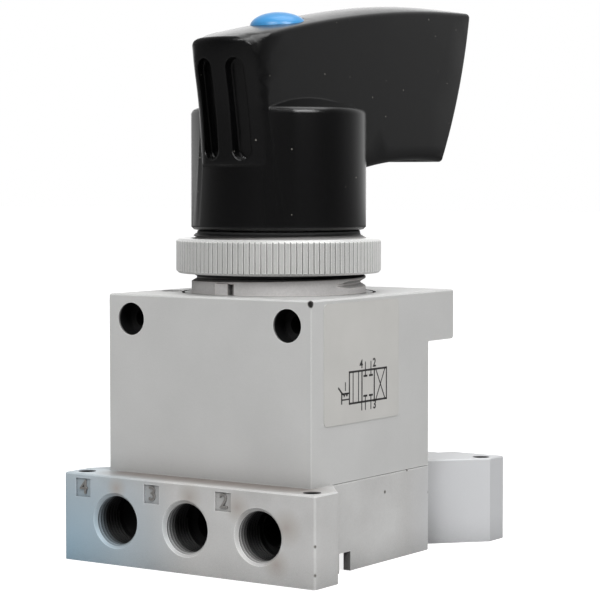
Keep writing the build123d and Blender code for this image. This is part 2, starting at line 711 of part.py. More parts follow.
save("sub_base", make_sub_base())
save("housing_block", make_housing())
save("housing_seal", o_ring(SEAL_R, SEAL_SECTION_R - 0.01, BASE_H - SEAL_SECTION_R))
save("base_screws", *make_base_screws())
save("port_seals", *make_port_seals())
save("seat_plate", make_seat())
save("seat_pins", *make_seat_pins())
save("slide_disc", make_disc())
save("slide_spring", make_spring())
save("spindle", make_spindle())
save("spindle_seals", *[o_ring(SPINDLE_SEAL_R, SPINDLE_SEAL_SECTION_R, z) for z in SPINDLE_SEAL_Z])
save("thrust_washer", ring(FLANGE_TOP + RUN_FIT, CAVITY_TOP, 11.5, SPINDLE_R + 0.3))
save("stop_pin", make_stop_pin())
save("threaded_neck", make_neck())
save("neck_screws", *make_neck_screws())
save("neck_seal", o_ring(NECK_SEAL_R, NECK_SEAL_SECTION_R, NECK_SEAL_Z))
save("spindle_bush", make_bush())
save("panel_nut", make_nut())
save("detent_spring", make_clip())
save("detent_cover", make_detent_cover())
save("cover_screws", *make_cover_screws())
save("dust_ring", make_dust_ring())
save("handle", make_handle())
save("handle_washer", ring(SCREW_SEAT_Z, SCREW_SEAT_Z + 1.2, 6.5, 3.2))
save("handle_screw", make_handle_screw())
save("handle_cap", make_cap())
save("label", make_label())
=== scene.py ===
import math

import bmesh
import bpy
from mathutils import Matrix, Vector


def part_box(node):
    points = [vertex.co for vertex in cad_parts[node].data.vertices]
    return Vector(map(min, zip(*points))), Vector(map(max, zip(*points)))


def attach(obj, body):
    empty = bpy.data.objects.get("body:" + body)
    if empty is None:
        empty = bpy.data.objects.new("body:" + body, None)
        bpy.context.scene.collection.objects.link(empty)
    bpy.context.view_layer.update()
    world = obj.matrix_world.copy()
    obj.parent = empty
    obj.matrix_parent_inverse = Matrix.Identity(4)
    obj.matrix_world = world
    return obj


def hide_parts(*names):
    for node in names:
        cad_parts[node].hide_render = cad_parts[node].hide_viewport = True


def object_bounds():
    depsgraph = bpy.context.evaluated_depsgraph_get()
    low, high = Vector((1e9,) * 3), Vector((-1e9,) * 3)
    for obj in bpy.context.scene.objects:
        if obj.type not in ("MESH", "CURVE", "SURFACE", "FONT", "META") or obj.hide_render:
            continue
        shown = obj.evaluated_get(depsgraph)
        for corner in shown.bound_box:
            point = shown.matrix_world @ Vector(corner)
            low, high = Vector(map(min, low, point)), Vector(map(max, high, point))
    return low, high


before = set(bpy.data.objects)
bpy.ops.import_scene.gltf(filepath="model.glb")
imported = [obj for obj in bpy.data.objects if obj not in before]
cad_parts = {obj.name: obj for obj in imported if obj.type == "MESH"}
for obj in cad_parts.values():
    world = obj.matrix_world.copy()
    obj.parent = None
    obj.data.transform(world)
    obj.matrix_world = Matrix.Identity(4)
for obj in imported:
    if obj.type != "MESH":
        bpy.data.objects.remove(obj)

MM = 0.001
cad_low, cad_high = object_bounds()
scene = bpy.context.scene
scene.view_settings.view_transform = "Standard"


# ---- sub-base --------------------------------------------------------------------------------
# A pressure die casting in aluminium, shot blasted to a fine pale grain and clear anodised.
# The four G 3/8 ports are tapped into it afterwards. Its port numbers stand in sunk squares, and
# screws through the four foot holes fix the valve from above.

def node_tools(tree):
    """Short calls for adding nodes to a tree and joining them."""
    def add(kind, **settings):
        node = tree.nodes.new(kind)
        for key, value in settings.items():
            setattr(node, key, value)
        return node

    def join(source, target):
        tree.links.new(source, target)

    return add, join


def plain_group(name, inputs, outputs):
    """An empty shader group; inputs and outputs are (name, socket type, default)."""
    tree = bpy.data.node_groups.new(name, "ShaderNodeTree")
    for label, kind, default in inputs:
        socket = tree.interface.new_socket(label, in_out="INPUT", socket_type=kind)
        socket.default_value = default
    for label, kind in outputs:
        tree.interface.new_socket(label, in_out="OUTPUT", socket_type=kind)
    start = tree.nodes.new("NodeGroupInput")
    end = tree.nodes.new("NodeGroupOutput")
    return tree, start, end


def build_blasted_grain():
    """Fine shot-blast grain with soft cloudy staining and a few casting pits."""
    tree, start, end = plain_group(
        "blasted_grain",
        [("Grain Scale", "NodeSocketFloat", 2200.0), ("Cloud Scale", "NodeSocketFloat", 45.0),
         ("Pit Share", "NodeSocketFloat", 0.06)],
        [("Tone", "NodeSocketFloat"), ("Height", "NodeSocketFloat"), ("Pits", "NodeSocketFloat")])
    add, join = node_tools(tree)
    place = add("ShaderNodeTexCoord")
    grain = add("ShaderNodeTexNoise")
    grain.inputs["Detail"].default_value = 3.0
    join(place.outputs["Object"], grain.inputs["Vector"])
    join(start.outputs["Grain Scale"], grain.inputs["Scale"])
    cloud = add("ShaderNodeTexNoise")
    cloud.inputs["Detail"].default_value = 5.0
    join(place.outputs["Object"], cloud.inputs["Vector"])
    join(start.outputs["Cloud Scale"], cloud.inputs["Scale"])
    tone = add("ShaderNodeMath", operation="MULTIPLY_ADD")
    join(grain.outputs["Fac"], tone.inputs[0])
    tone.inputs[1].default_value = 0.35
    join(cloud.outputs["Fac"], tone.inputs[2])
    cells = add("ShaderNodeTexVoronoi")
    cells.inputs["Scale"].default_value = 140.0
    join(place.outputs["Object"], cells.inputs["Vector"])
    chosen = add("ShaderNodeSeparateColor")
    join(cells.outputs["Color"], chosen.inputs["Color"])
    few = add("ShaderNodeMath", operation="LESS_THAN")
    join(chosen.outputs["Red"], few.inputs[0])
    join(start.outputs["Pit Share"], few.inputs[1])
    near = add("ShaderNodeMapRange")
    near.inputs["From Min"].default_value = 0.035
    near.inputs["From Max"].default_value = 0.01
    join(cells.outputs["Distance"], near.inputs["Value"])
    pits = add("ShaderNodeMath", operation="MULTIPLY")
    join(few.outputs[0], pits.inputs[0])
    join(near.outputs["Result"], pits.inputs[1])
    height = add("ShaderNodeMath", operation="MULTIPLY_ADD")
    join(pits.outputs[0], height.inputs[0])
    height.inputs[1].default_value = -2.5
    join(grain.outputs["Fac"], height.inputs[2])
    join(tone.outputs[0], end.inputs["Tone"])
    join(height.outputs[0], end.inputs["Height"])
    join(pits.outputs[0], end.inputs["Pits"])
    return tree


def build_edge_rub():
    """A mask that is 1 on outer edges and corners, where a finish is rubbed thin."""
    tree, start, end = plain_group(
        "edge_rub", [("Edge Radius", "NodeSocketFloat", 0.0004)], [("Rub", "NodeSocketFloat")])
    add, join = node_tools(tree)
    soft = add("ShaderNodeBevel", samples=4)
    join(start.outputs["Edge Radius"], soft.inputs["Radius"])
    true = add("ShaderNodeNewGeometry")
    facing = add("ShaderNodeVectorMath", operation="DOT_PRODUCT")
    join(soft.outputs["Normal"], facing.inputs[0])
    join(true.outputs["Normal"], facing.inputs[1])
    rub = add("ShaderNodeMapRange")
    rub.inputs["From Min"].default_value = 0.995
    rub.inputs["From Max"].default_value = 0.9
    join(facing.outputs["Value"], rub.inputs["Value"])
    join(rub.outputs["Result"], end.inputs["Rub"])
    return tree


def build_corner_shade():
    """A mask that grows in corners and deep holes, where it lays painted shade."""
    tree, start, end = plain_group(
        "corner_shade", [("Reach", "NodeSocketFloat", 0.012), ("Clean", "NodeSocketFloat", 0.62)],
        [("Corner Shade", "NodeSocketFloat")])
    add, join = node_tools(tree)
    open_sky = add("ShaderNodeAmbientOcclusion", samples=6)
    join(start.outputs["Reach"], open_sky.inputs["Distance"])
    grime = add("ShaderNodeMapRange")
    join(start.outputs["Clean"], grime.inputs["From Min"])
    grime.inputs["From Max"].default_value = 0.0
    join(open_sky.outputs["AO"], grime.inputs["Value"])
    join(grime.outputs["Result"], end.inputs["Corner Shade"])
    return tree


def build_hole_shade():
    """A mask that grows with depth inside a straight hole, standing in for the dark in it."""
    tree, start, end = plain_group(
        "hole_shade",
        [("Mouth", "NodeSocketVector", (0, 0, 0)), ("Way", "NodeSocketVector", (0, 1, 0)),
         ("Radius", "NodeSocketFloat", 0.01), ("Fade", "NodeSocketFloat", 0.01),
         ("Length", "NodeSocketFloat", 0.03)],
        [("Shade", "NodeSocketFloat")])
    add, join = node_tools(tree)
    place = add("ShaderNodeTexCoord")
    arm = add("ShaderNodeVectorMath", operation="SUBTRACT")
    join(place.outputs["Object"], arm.inputs[0])
    join(start.outputs["Mouth"], arm.inputs[1])
    depth = add("ShaderNodeVectorMath", operation="DOT_PRODUCT")
    join(arm.outputs[0], depth.inputs[0])
    join(start.outputs["Way"], depth.inputs[1])
    along = add("ShaderNodeVectorMath", operation="SCALE")
    join(start.outputs["Way"], along.inputs[0])
    join(depth.outputs["Value"], along.inputs["Scale"])
    across = add("ShaderNodeVectorMath", operation="DISTANCE")
    join(arm.outputs[0], across.inputs[0])
    join(along.outputs[0], across.inputs[1])
    inside = add("ShaderNodeMath", operation="LESS_THAN")
    join(across.outputs["Value"], inside.inputs[0])
    join(start.outputs["Radius"], inside.inputs[1])
    deep = add("ShaderNodeMapRange")
    join(depth.outputs["Value"], deep.inputs["Value"])
    join(start.outputs["Fade"], deep.inputs["From Max"])
    near = add("ShaderNodeMath", operation="LESS_THAN")
    join(depth.outputs["Value"], near.inputs[0])
    join(start.outputs["Length"], near.inputs[1])
    within = add("ShaderNodeMath", operation="MULTIPLY")
    join(inside.outputs[0], within.inputs[0])
    join(near.outputs[0], within.inputs[1])
    shade = add("ShaderNodeMath", operation="MULTIPLY")
    join(within.outputs[0], shade.inputs[0])
    join(deep.outputs["Result"], shade.inputs[1])
    join(shade.outputs[0], end.inputs["Shade"])
    return tree


def build_spot():
    """A mask round one point: 1 at its middle, 0 from its radius on."""
    tree, start, end = plain_group(
        "spot",
        [("Centre", "NodeSocketVector", (0, 0, 0)), ("Radius", "NodeSocketFloat", 0.001),
         ("Core", "NodeSocketFloat", 0.5)],
        [("Mask", "NodeSocketFloat")])
    add, join = node_tools(tree)
    place = add("ShaderNodeTexCoord")
    away = add("ShaderNodeVectorMath", operation="DISTANCE")
    join(place.outputs["Object"], away.inputs[0])
    join(start.outputs["Centre"], away.inputs[1])
    core = add("ShaderNodeMath", operation="MULTIPLY")
    join(start.outputs["Radius"], core.inputs[0])
    join(start.outputs["Core"], core.inputs[1])
    mask = add("ShaderNodeMapRange")
    join(away.outputs["Value"], mask.inputs["Value"])
    join(start.outputs["Radius"], mask.inputs["From Min"])
    join(core.outputs[0], mask.inputs["From Max"])
    join(mask.outputs["Result"], end.inputs["Mask"])
    return tree


blasted_grain = build_blasted_grain()
edge_rub = build_edge_rub()
corner_shade = build_corner_shade()
hole_shade = build_hole_shade()
spot = build_spot()


def linear(red, green, blue):
    """A colour written as screen values from 0 to 255."""
    def one(value):
        share = value / 255
        return share / 12.92 if share <= 0.04045 else ((share + 0.055) / 1.055) ** 2.4
    return (one(red), one(green), one(blue), 1.0)


def finish(name, metallic, roughness):
    """A new material; returns it with its tree's tools and its shader."""
    material = bpy.data.materials.new(name)
    material.use_nodes = True
    add, join = node_tools(material.node_tree)
    shader = material.node_tree.nodes["Principled BSDF"]
    shader.inputs["Metallic"].default_value = metallic
    shader.inputs["Roughness"].default_value = roughness
    return material, add, join, shader


def bumped(add, join, shader, height, distance, strength=1.0):
    """Feeds a height into the shader's normal; returns the bump."""
    bump = add("ShaderNodeBump")
    bump.inputs["Distance"].default_value = distance
    bump.inputs["Strength"].default_value = strength
    join(height, bump.inputs["Height"])
    join(bump.outputs["Normal"], shader.inputs["Normal"])
    return bump


def mottle(add, join, scale, detail=2.0):
    """Soft noise on the piece's own coordinates."""
    place = add("ShaderNodeTexCoord")
    noise = add("ShaderNodeTexNoise")
    noise.inputs["Scale"].default_value = scale
    noise.inputs["Detail"].default_value = detail
    join(place.outputs["Object"], noise.inputs["Vector"])
    return noise


def between(add, join, dark, light, factor):
    """A colour that goes from a dark to a light tone with a factor."""
    colour = add("ShaderNodeMix", data_type="RGBA")
    colour.inputs["A"].default_value = linear(*dark)
    colour.inputs["B"].default_value = linear(*light)
    join(factor, colour.inputs["Factor"])
    return colour


def laid(add, join, colour, tone, mask):
    """Lays a tone over a colour where a mask is 1."""
    over = add("ShaderNodeMix", data_type="RGBA")
    over.inputs["B"].default_value = linear(*tone)
    join(mask, over.inputs["Factor"])
    join(colour.outputs["Result"], over.inputs["A"])
    return over


def marked(add, join, colour, spots):
    """Lays soft round marks over a colour; a spot is (centre, radius, core, tone)."""
    for centre, radius, core, tone in spots:
        mask = add("ShaderNodeGroup", node_tree=spot)
        mask.inputs["Centre"].default_value = centre
        mask.inputs["Radius"].default_value = radius
        mask.inputs["Core"].default_value = core
        colour = laid(add, join, colour, tone, mask.outputs["Mask"])
    return colour


# The tone of the painted shade deep in holes.
HOLE_SHADE_TONE = (8, 8, 9)
PIT_TONE = (90, 88, 86)
# The tone of the painted shade laid in corners.
CORNER_SHADE_TONE = (38, 35, 33)


def shaded(add, join, colour, holes):
    """Lays painted shade in straight holes; a hole is (mouth, way inward, radius, depth where
    black, length).
    """
    for mouth, way, radius, fade, length in holes:
        deep = add("ShaderNodeGroup", node_tree=hole_shade)
        deep.inputs["Mouth"].default_value = mouth
        deep.inputs["Way"].default_value = way
        deep.inputs["Radius"].default_value = radius
        deep.inputs["Fade"].default_value = fade
        deep.inputs["Length"].default_value = length
        colour = laid(add, join, colour, HOLE_SHADE_TONE, deep.outputs["Shade"])
    return colour


def blasted_aluminium(name, dark, light, worn, metallic=0.12, roughness=0.48, grain=2200.0,
                      reach=0.02, spots=(), holes=(), painted_sheen=None):
    """Blasted aluminium between two tones, its edges rubbed brighter and its corners and holes
    darkened with painted shade; a painted sheen is a lighter tone laid on where it is seen at a
    shallow angle."""
    material, add, join, shader = finish(name, metallic, roughness)
    skin = add("ShaderNodeGroup", node_tree=blasted_grain)
    skin.inputs["Grain Scale"].default_value = grain
    tone = add("ShaderNodeMapRange")
    tone.inputs["From Min"].default_value = 0.45
    tone.inputs["From Max"].default_value = 0.95
    join(skin.outputs["Tone"], tone.inputs["Value"])
    colour = between(add, join, dark, light, tone.outputs["Result"])
    colour = laid(add, join, colour, PIT_TONE, skin.outputs["Pits"])
    edges = add("ShaderNodeGroup", node_tree=edge_rub)
    colour = laid(add, join, colour, worn, edges.outputs["Rub"])
    colour = marked(add, join, colour, spots)
    # Painted shade in corners and holes, by how much of the room each point sees.
    corners = add("ShaderNodeGroup", node_tree=corner_shade)
    corners.inputs["Reach"].default_value = reach
    colour = laid(add, join, colour, CORNER_SHADE_TONE, corners.outputs["Corner Shade"])
    colour = shaded(add, join, colour, holes)
    # Painted sheen: a lighter tone where the surface is seen at a shallow angle.
    if painted_sheen:
        shallow = add("ShaderNodeLayerWeight")
        shallow.inputs["Blend"].default_value = 0.3
        colour = laid(add, join, colour, painted_sheen, shallow.outputs["Facing"])
    join(colour.outputs["Result"], shader.inputs["Base Color"])
    bumped(add, join, shader, skin.outputs["Height"], 0.00003)
    return material


def thread_tree():
    """Cuts a trapezoidal thread groove: a helix swept with the groove's section."""
    tree = bpy.data.node_groups.new("cut_thread", "GeometryNodeTree")
    tree.interface.new_socket("Geometry", in_out="INPUT", socket_type="NodeSocketGeometry")
    for label, kind in (("Crest Radius", "Float"), ("Pitch", "Float"), ("Depth", "Float"),
                        ("Mouth Width", "Float"), ("Root Width", "Float"), ("Turns", "Float"),
                        ("Run Out", "Float"), ("Steps", "Int"), ("Start", "Vector"),
                        ("Turn", "Vector"), ("Material", "Material")):
        tree.interface.new_socket(label, in_out="INPUT", socket_type="NodeSocket" + kind)
    tree.interface.new_socket("Geometry", in_out="OUTPUT", socket_type="NodeSocketGeometry")
    add, join = node_tools(tree)
    start = add("NodeGroupInput")
    end = add("NodeGroupOutput")

    def value(operation, *terms):
        node = add("ShaderNodeMath", operation=operation)
        for slot, term in enumerate(terms):
            if isinstance(term, (int, float)):
                node.inputs[slot].default_value = term
            else:
                join(term, node.inputs[slot])
        return node.outputs[0]

    def point(x, y):
        node = add("ShaderNodeCombineXYZ")
        join(x, node.inputs["X"])
        join(y, node.inputs["Y"])
        return node.outputs[0]

    given = start.outputs
    helix = add("GeometryNodeCurveSpiral")
    helix.inputs["Reverse"].default_value = True
    join(given["Steps"], helix.inputs["Resolution"])
    join(given["Turns"], helix.inputs["Rotations"])
    join(given["Crest Radius"], helix.inputs["Start Radius"])
    join(given["Crest Radius"], helix.inputs["End Radius"])
    join(value("MULTIPLY", given["Pitch"], given["Turns"]), helix.inputs["Height"])
    along = add("GeometryNodeSplineParameter")
    fade = add("ShaderNodeMapRange")
    join(along.outputs["Factor"], fade.inputs["Value"])
    join(given["Run Out"], fade.inputs["From Max"])
    join(given["Depth"], fade.inputs["To Min"])
    fade.inputs["To Max"].default_value = 0.0
    place = add("GeometryNodeInputPosition")
    flat = add("ShaderNodeVectorMath", operation="MULTIPLY")
    join(place.outputs[0], flat.inputs[0])
    flat.inputs[1].default_value = (1, 1, 0)
    outward = add("ShaderNodeVectorMath", operation="NORMALIZE")
    join(flat.outputs[0], outward.inputs[0])
    lift = add("ShaderNodeVectorMath", operation="SCALE")
    join(outward.outputs[0], lift.inputs[0])
    join(fade.outputs["Result"], lift.inputs["Scale"])
    eased = add("GeometryNodeSetPosition")
    join(helix.outputs["Curve"], eased.inputs["Geometry"])
    join(lift.outputs[0], eased.inputs["Offset"])
    upright = add("GeometryNodeSetCurveNormal", mode="Z_UP")
    join(eased.outputs["Geometry"], upright.inputs["Curve"])
    section = add("GeometryNodeCurvePrimitiveQuadrilateral", mode="POINTS")
    half_root = value("MULTIPLY", given["Root Width"], 0.5)
    half_mouth = value("MULTIPLY", given["Mouth Width"], 0.5)
    depth = given["Depth"]
    inward = value("MULTIPLY", depth, -1.0)
    over = value("MULTIPLY", depth, 0.25)
    join(point(inward, half_root), section.inputs["Point 1"])
    join(point(inward, value("MULTIPLY", half_root, -1.0)), section.inputs["Point 2"])
    join(point(over, value("MULTIPLY", half_mouth, -1.0)), section.inputs["Point 3"])
    join(point(over, half_mouth), section.inputs["Point 4"])
    swept = add("GeometryNodeCurveToMesh")
    join(upright.outputs["Curve"], swept.inputs["Curve"])
    join(section.outputs["Curve"], swept.inputs["Profile Curve"])
    swept.inputs["Fill Caps"].default_value = True
    inside_out = add("GeometryNodeFlipFaces")
    join(swept.outputs["Mesh"], inside_out.inputs["Mesh"])
    internal = add("GeometryNodeSwitch", input_type="GEOMETRY")
    join(value("LESS_THAN", depth, 0.0), internal.inputs["Switch"])
    join(swept.outputs["Mesh"], internal.inputs["False"])
    join(inside_out.outputs["Mesh"], internal.inputs["True"])
    put = add("GeometryNodeTransform")
    join(internal.outputs["Output"], put.inputs["Geometry"])
    join(given["Start"], put.inputs["Translation"])
    join(given["Turn"], put.inputs["Rotation"])
    cut = add("GeometryNodeMeshBoolean", operation="DIFFERENCE", solver="EXACT")
    join(given["Geometry"], cut.inputs["Mesh 1"])
    join(put.outputs["Geometry"], cut.inputs["Mesh 2"])
    real = add("GeometryNodeRealizeInstances")
    join(cut.outputs["Mesh"], real.inputs["Geometry"])
    dressed = add("GeometryNodeSetMaterial")
    join(real.outputs["Geometry"], dressed.inputs["Geometry"])
    join(given["Material"], dressed.inputs["Material"])
    join(dressed.outputs["Geometry"], end.inputs["Geometry"])
    return tree


def recess_tree():
    """Sinks a box-shaped recess into its geometry."""
    tree = bpy.data.node_groups.new("cut_recess", "GeometryNodeTree")
    tree.interface.new_socket("Geometry", in_out="INPUT", socket_type="NodeSocketGeometry")
    for label, kind in (("Size", "Vector"), ("Centre", "Vector"), ("Material", "Material")):
        tree.interface.new_socket(label, in_out="INPUT", socket_type="NodeSocket" + kind)
    tree.interface.new_socket("Geometry", in_out="OUTPUT", socket_type="NodeSocketGeometry")
    add, join = node_tools(tree)
    start = add("NodeGroupInput")
    end = add("NodeGroupOutput")
    cube = add("GeometryNodeMeshCube")
    join(start.outputs["Size"], cube.inputs["Size"])
    put = add("GeometryNodeTransform")
    join(cube.outputs["Mesh"], put.inputs["Geometry"])
    join(start.outputs["Centre"], put.inputs["Translation"])
    cut = add("GeometryNodeMeshBoolean", operation="DIFFERENCE", solver="EXACT")
    join(start.outputs["Geometry"], cut.inputs["Mesh 1"])
    join(put.outputs["Geometry"], cut.inputs["Mesh 2"])
    real = add("GeometryNodeRealizeInstances")
    join(cut.outputs["Mesh"], real.inputs["Geometry"])
    dressed = add("GeometryNodeSetMaterial")
    join(real.outputs["Geometry"], dressed.inputs["Geometry"])
    join(start.outputs["Material"], dressed.inputs["Material"])
    join(dressed.outputs["Geometry"], end.inputs["Geometry"])
    return tree


cut_thread = thread_tree()
cut_recess = recess_tree()


def linked(name, mesh):
    """A new object in the scene, for a mesh, curve, lamp or camera."""
    piece = bpy.data.objects.new(name, mesh)
    scene.collection.objects.link(piece)
    return piece


def smoothed(mesh, crease=30.0):
    """Makes a mesh smooth except at its creases."""
    mesh.shade_smooth()
    mesh.set_sharp_from_angle(angle=math.radians(crease))


def merged_copy(node, name):
    """A new piece with a CAD node's surface, its loose triangles merged into one skin."""
    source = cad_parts[node].data
    points = [vert.co for vert in source.vertices]
    mesh = bpy.data.meshes.new(name)
    mesh.from_pydata(points, [], [list(face.vertices) for face in source.polygons])
    skin = bmesh.new()
    skin.from_mesh(mesh)
    bmesh.ops.remove_doubles(skin, verts=skin.verts, dist=0.002 * MM)
    skin.to_mesh(mesh)
    skin.free()
    return linked(name, mesh)


def with_tree(piece, tree, **values):
    """Adds a node tree's modifier to a piece, with its inputs set by name."""
    modifier = piece.modifiers.new(tree.name, "NODES")
    modifier.node_group = tree
    sockets = [item for item in tree.interface.items_tree if item.in_out == "INPUT"]
    named = {item.name: item.identifier for item in sockets}
    for label, given in values.items():
        modifier[named[label.replace("_", " ")]] = given


def made_plain(piece):
    """Turns a piece's modifiers into a plain mesh, smooth except at its creases."""
    graph = bpy.context.evaluated_depsgraph_get()
    mesh = bpy.data.meshes.new_from_object(piece.evaluated_get(graph))
    piece.modifiers.clear()
    piece.data = mesh
    smoothed(mesh)


FIGURE_SHARE = 0.69     # a figure's height as a share of the type's size


def figure_mesh(figure, height, thickness, place, weight):
    """A plain figure as a mesh, facing the place's +Z, its strokes widened by a weight."""
    words = bpy.data.curves.new(figure, "FONT")
    words.body = figure
    words.size = height / FIGURE_SHARE
    words.extrude = thickness / 2
    words.offset = weight
    words.align_x = "CENTER"
    words.align_y = "CENTER"
    lettering = linked(figure, words)
    graph = bpy.context.evaluated_depsgraph_get()
    mesh = bpy.data.meshes.new_from_object(lettering.evaluated_get(graph))
    bpy.data.objects.remove(lettering)
    mesh.transform(place)
    return mesh


def piece_of(name, meshes, material):
    """One piece with the faces of several meshes."""
    skin = bmesh.new()
    for mesh in meshes:
        skin.from_mesh(mesh)
    whole = bpy.data.meshes.new(name)
    skin.to_mesh(whole)
    skin.free()
    whole.materials.append(material)
    return linked(name, whole)


PORT_MINOR_R = 7.475 * MM
PORT_MAJOR_R = 8.33 * MM
PORT_PITCH = 1.337 * MM
PORT_X = 26.5 * MM
PORT_Z = 13.5 * MM
PORT_THREAD_H = 11.4 * MM
PORT_LEAD_IN = 0.6 * MM     # the cut starts this far outside the mouth
PORT_SHADE_R = 8.7 * MM
PORT_BLACK_AT = 5.5 * MM
REAR_PORT_Y = 57.4 * MM

MARK_SIDE = 5.7 * MM
MARK_DEPTH = 0.5 * MM
MARK_X = 12.5 * MM
MARK_Z = 22.7 * MM
MARK_SHADE_R = 0.75 * MARK_SIDE
MARK_BLACK_AT = 2.6 * MM
MARK_FIGURE_H = 4.2 * MM
MARK_WEIGHT = 0.05 * MM

FOOT_HOLE_X = 41.8 * MM
FOOT_HOLE_YS = (-43.4 * MM, 54.7 * MM)
FOOT_HOLE_SHADE_R = 2.95 * MM
FOOT_HOLE_BLACK_AT = 0.4 * MM

# Marks in the surface, in millimetres: casting pits (x, y, z), and front smudges (x, z, radius).
CASTING_PITS = ((37.5, 2.9, 21.4), (37.5, 28.8, 18.3), (46.5, -48.6, 12.5), (46.5, -48.6, 4.2),
                (37.5, 15.8, 26.8))
SMUDGES = ((36.5, 17.0, 6.0), (33.0, 6.0, 5.0), (19.0, 21.5, 5.0), (1.5, 23.0, 5.0),
           (-26.0, 23.5, 4.0))
SMUDGE_TONE = (158, 152, 147)
CASTING_PIT_TONE = (70, 64, 58)

# Light painted on, which is no part of the finish: a cool glow low on the front's left, a paler
# rear flange, and a soft shade along the housing's foot. The hole and neck shades are the same.
COOL_GLOW = (140, 166, 182)
PALE_FLANGE = (186, 187, 189)
FOOT_SHADE = (120, 112, 107)

base_low, base_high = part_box("sub_base")
port_mouths = [(x, base_low.y, 1) for x in (-PORT_X, 0.0, PORT_X)] + [(0.0, REAR_PORT_Y, -1)]
base_holes = [((x, y, PORT_Z), (0, way, 0), PORT_SHADE_R, PORT_BLACK_AT, 30 * MM)
              for x, y, way in port_mouths]
base_holes += [((x - way * MARK_X, y, MARK_Z), (0, way, 0), MARK_SHADE_R, MARK_BLACK_AT, 2 * MM)
               for x, y, way in port_mouths]
base_holes += [((x, y, base_high.z), (0, 0, -1), FOOT_HOLE_SHADE_R, FOOT_HOLE_BLACK_AT, 20 * MM)
               for x in (-FOOT_HOLE_X, FOOT_HOLE_X) for y in FOOT_HOLE_YS]
base_spots = [((-46.0 * MM, base_low.y, 2.0 * MM), 46.0 * MM, 0.0, COOL_GLOW),
              ((46.0 * MM, 58.0 * MM, 12.0 * MM), 44.0 * MM, 0.5, PALE_FLANGE)]
base_spots += [((x * MM, -40.0 * MM, base_high.z), 9.5 * MM, 0.0, FOOT_SHADE)
               for x in range(-30, 37, 6)]
base_spots += [((x * MM, base_low.y, z * MM), size * MM, 0.0, SMUDGE_TONE)
               for x, z, size in SMUDGES]
base_spots += [(tuple(part * MM for part in pit), 0.7 * MM, 0.4, CASTING_PIT_TONE)
               for pit in CASTING_PITS]
base_grey = blasted_aluminium("cast_base", (169, 168, 167), (189, 189, 188), (216, 216, 215),
                              spots=base_spots, holes=base_holes)
base = merged_copy("sub_base", "cast_sub_base")
upright = Matrix.Rotation(math.radians(90), 4, "X")
figures = []
for figure, (mouth_x, mouth_y, inward) in zip("4321", port_mouths):
    with_tree(
        base, cut_thread, Crest_Radius=PORT_MINOR_R, Pitch=PORT_PITCH,
        Depth=PORT_MINOR_R - PORT_MAJOR_R, Mouth_Width=1.15 * MM, Root_Width=0.25 * MM,
        Turns=PORT_THREAD_H / PORT_PITCH, Run_Out=0.01, Steps=40,
        Start=(mouth_x, mouth_y - inward * PORT_LEAD_IN, PORT_Z),
        Turn=(math.radians(-90 * inward), 0.0, 0.0), Material=base_grey)
    mark = Vector((mouth_x - inward * MARK_X, mouth_y, MARK_Z))
    with_tree(base, cut_recess, Size=(MARK_SIDE, 2 * MARK_DEPTH, MARK_SIDE), Centre=mark,
              Material=base_grey)
    middle = mark + Vector((0.0, inward * MARK_DEPTH / 2, 0.0))
    turn = Matrix.Rotation(math.radians(90 - 90 * inward), 4, "Z") @ upright
    figures.append(figure_mesh(figure, MARK_FIGURE_H, MARK_DEPTH,
                               Matrix.Translation(middle) @ turn, MARK_WEIGHT))
made_plain(base)
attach(base, "valve_body")
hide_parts("sub_base")
# The port figures' dark tone is painted shade on their small relief in the sunk squares.
port_figures = piece_of("port_figures", figures, blasted_aluminium(
    "cast_figures_painted_shade", (88, 86, 84), (124, 122, 119), (140, 138, 136), reach=0.001))
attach(port_figures, "valve_body")


# ---- housing block ---------------------------------------------------------------------------
# The valve's body is a block milled from aluminium, blasted and clear anodised, with a step behind.
# It stands on the sub-base over a seal and is pulled down by four screws from below.

def dress(node, material):
    """Gives a CAD node its finish."""
    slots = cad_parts[node].data.materials
    slots.clear()
    slots.append(material)


BOLT_X = 29.0 * MM
BOLT_Z = 74.2 * MM
BOLT_HEAD_R = 5.05 * MM
BOLT_BLACK_AT = 1.0 * MM
CHIP_R = 1.4 * MM
CHIP_DROP = 0.9 * MM
CHIP_TONE = (30, 28, 26)

block_low, block_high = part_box("housing_block")
bolt_holes = [((x, y, BOLT_Z), (0, way, 0), BOLT_HEAD_R, BOLT_BLACK_AT, 12 * MM)
              for y, way in ((block_low.y, 1), (block_high.y, -1)) for x in (-BOLT_X, BOLT_X)]
chipped_corner = (block_high.x, block_low.y, block_high.z - CHIP_DROP)
housing_grey = blasted_aluminium(
    "housing", (177, 177, 176), (185, 185, 184), (212, 212, 211), grain=2600.0,
    spots=[(chipped_corner, CHIP_R, 0.7, CHIP_TONE)], holes=bolt_holes)
dress("housing_block", housing_grey)

STEEL_SHADE = 0.86      # a turning mark's tone as a share of the steel's


def steel(name, tone, roughness):
    """Machined or drawn steel with faint turning marks."""
    material, add, join, shader = finish(name, 1.0, roughness)
    marks = mottle(add, join, 900.0, 4.0)
    shade = [STEEL_SHADE * part for part in tone]
    colour = between(add, join, shade, tone, marks.outputs["Fac"])
    join(colour.outputs["Result"], shader.inputs["Base Color"])
    bumped(add, join, shader, marks.outputs["Fac"], 0.00001)
    return material


def rubber(name):
    """Black nitrile rubber with a fine bloom."""
    material, add, join, shader = finish(name, 0.0, 0.62)
    bloom = mottle(add, join, 700.0)
    colour = between(add, join, (24, 24, 25), (46, 46, 47), bloom.outputs["Fac"])
    join(colour.outputs["Result"], shader.inputs["Base Color"])
    bumped(add, join, shader, bloom.outputs["Fac"], 0.00002)
    return material


screw_steel = steel("fastener_steel", (150, 150, 148), 0.35)
seal_rubber = rubber("seal_rubber")
dress("base_screws", screw_steel)
dress("housing_seal", seal_rubber)
dress("port_seals", seal_rubber)


# ---- type plate ------------------------------------------------------------------------------
# A self-adhesive plate of pale satin film on the housing's right side. On its lower half is
# printed the circuit symbol of a three-position hand lever valve, with plain port numbers.

